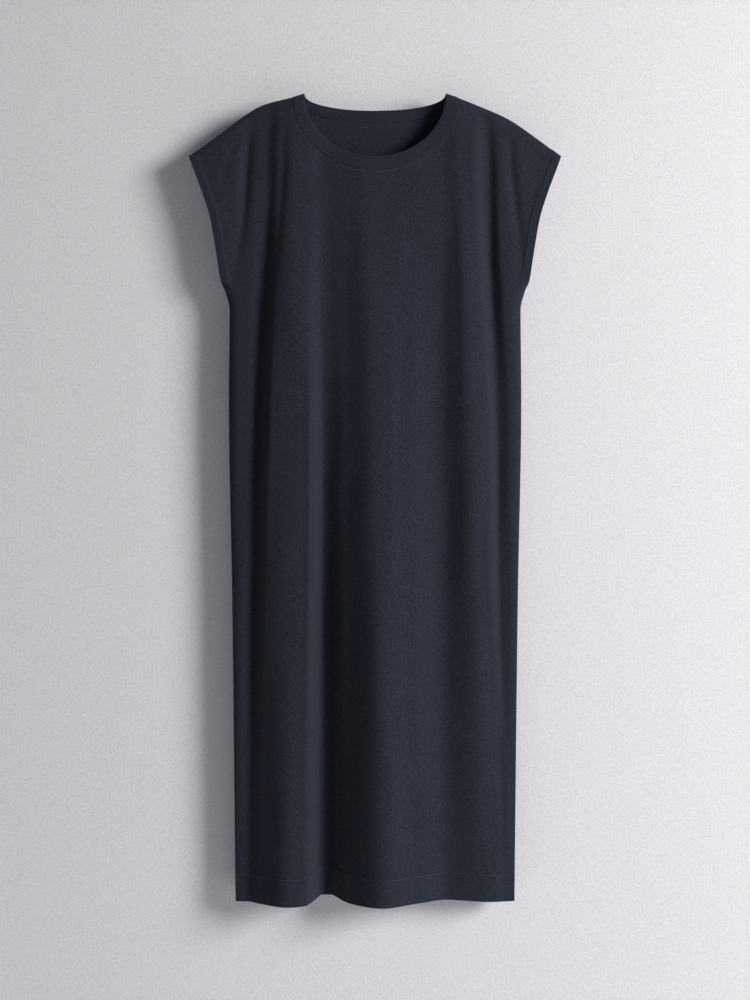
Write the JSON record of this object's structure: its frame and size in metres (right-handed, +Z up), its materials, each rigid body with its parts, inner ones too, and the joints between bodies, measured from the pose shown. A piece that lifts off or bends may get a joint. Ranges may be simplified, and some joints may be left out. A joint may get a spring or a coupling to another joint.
{
  "type": "sleeveless jersey midi dress",
  "caption": "Sleeveless midi dress in fine jersey with extended cap shoulders, a banded round neck, turned armholes and a turned hem, hanging open in soft folds.",
  "frame": {"origin": "midway between the neck ends of the two shoulder seams, at the height of the band's highest points, on the middle plane of the dress", "axes": "+Z up along the length, +X to the viewer's right facing the front, -Y out of the front"},
  "size_m": [0.544, 0.0744, 1.1796],
  "materials": {
    "front_panel": "matt fine jersey",
    "back_panel": "matt fine jersey",
    "neck_band": "matt fine jersey, folded double"
  },
  "bodies": {
    "root": {"front_panel": "front_panel", "back_panel": "back_panel", "neck_band": "neck_band"}
  },
  "joints": []
}
